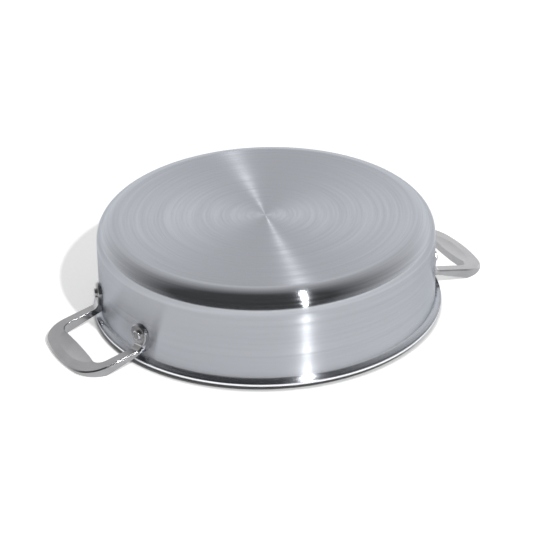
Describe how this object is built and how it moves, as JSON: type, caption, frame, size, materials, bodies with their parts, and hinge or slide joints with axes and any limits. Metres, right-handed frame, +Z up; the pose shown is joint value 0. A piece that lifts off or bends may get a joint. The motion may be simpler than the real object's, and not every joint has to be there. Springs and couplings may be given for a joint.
{
  "type": "braiser pan",
  "caption": "Wide, low clad steel braiser with a flared pouring rim and riveted loop side handles, stored upside down on the ends of its handles.",
  "frame": {"origin": "centre of the bounding box's bottom, on the surface that the handles stand on: the pan's axis is Z and Z = 0 is that surface", "axes": "+X from the pan's axis towards the right handle, along the longest extent; +Z up, out of the pan's base, because the pan is stored upside down; turned by 180 degrees about X it stands on its base for use"},
  "size_m": [0.4204, 0.3174, 0.0912],
  "materials": {
    "outer_steel": "fine circular brushing, semi-bright",
    "core_aluminium": "cut and polished where it shows at the rim's edge",
    "inner_steel": "satin, brushed round",
    "handle_steel": "satin casting with bright ground edges",
    "rivet_steel": "polished button heads"
  },
  "bodies": {
    "root": {"outer_steel_layer": "outer_steel", "aluminium_core": "core_aluminium", "inner_steel_layer": "inner_steel", "handle_left": "handle_steel", "handle_right": "handle_steel", "rivet_left_front": "rivet_steel", "rivet_left_rear": "rivet_steel", "rivet_right_front": "rivet_steel", "rivet_right_rear": "rivet_steel"}
  },
  "joints": []
}
